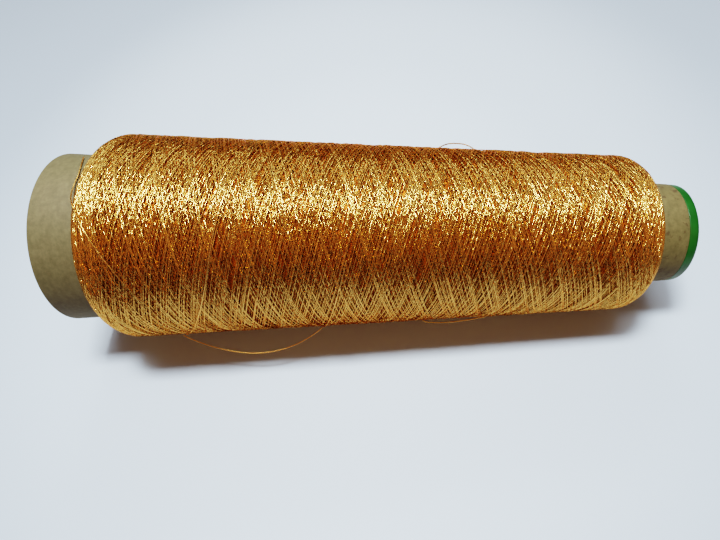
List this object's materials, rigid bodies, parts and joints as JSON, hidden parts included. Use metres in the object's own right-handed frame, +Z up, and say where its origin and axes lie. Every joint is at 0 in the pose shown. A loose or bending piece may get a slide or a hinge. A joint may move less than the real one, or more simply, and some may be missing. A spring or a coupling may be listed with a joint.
{
  "type": "spool of thread",
  "caption": "Gold metallic embroidery thread cross-wound on a tapered paper cone with a green-banded nose, lying on its side, with loose thread ends.",
  "frame": {"origin": "centre of the narrow flat strip on which the thread package rests when the cone lies on its side", "axes": "+X along the resting strip from the wide base end towards the nose, +Y across the cone (away from the side seen first), +Z up; the cone's own axis leans 3.15 degrees down towards the nose"},
  "size_m": [0.1717, 0.0582, 0.0579],
  "materials": {
    "wrap_paper": "matt olive-grey kraft paper with fine fibres and brown flecks",
    "grey_board": "matt grey chipboard",
    "liner_paper": "matt greyish kraft paper",
    "nose_lacquer": "glossy green lacquer",
    "gold_thread": "bright twisted metallic gold thread"
  },
  "bodies": {
    "cone": {"cone_outer_ply": "wrap_paper", "cone_core_ply": "grey_board", "cone_inner_ply": "liner_paper", "nose_color_band": "nose_lacquer", "starting_turns": "gold_thread", "thread_inner_lays": "gold_thread", "thread_outer_lays": "gold_thread", "base_edge_turns": "gold_thread"},
    "free_end": {"running_end": "gold_thread"},
    "low_loop": {"lower_loop": "gold_thread"},
    "top_loop": {"upper_loop": "gold_thread"},
    "under_loop": {"underside_loop": "gold_thread"}
  },
  "joints": [
    {"name": "free_end_orbit", "type": "hinge", "parent": "cone", "child": "free_end", "pos_m": [-0.08348, 0, 0.0299], "axis": [0.9985, 0, -0.0549], "continuous": true},
    {"name": "low_loop_swing", "type": "hinge", "parent": "cone", "child": "low_loop", "pos_m": [-0.03352, -0.02405, 0.01327], "axis": [0.9971, 0.0596, -0.0483], "range_deg": [-80, 55]},
    {"name": "top_loop_swing", "type": "hinge", "parent": "cone", "child": "top_loop", "pos_m": [0.02589, 0.01674, 0.04184], "axis": [0.9464, -0.2878, 0.1464], "range_deg": [-65, 65]},
    {"name": "under_loop_swing", "type": "hinge", "parent": "cone", "child": "under_loop", "pos_m": [0.02381, -0.02218, 0.01403], "axis": [0.9302, -0.1225, 0.3461], "range_deg": [-60, 55]}
  ]
}
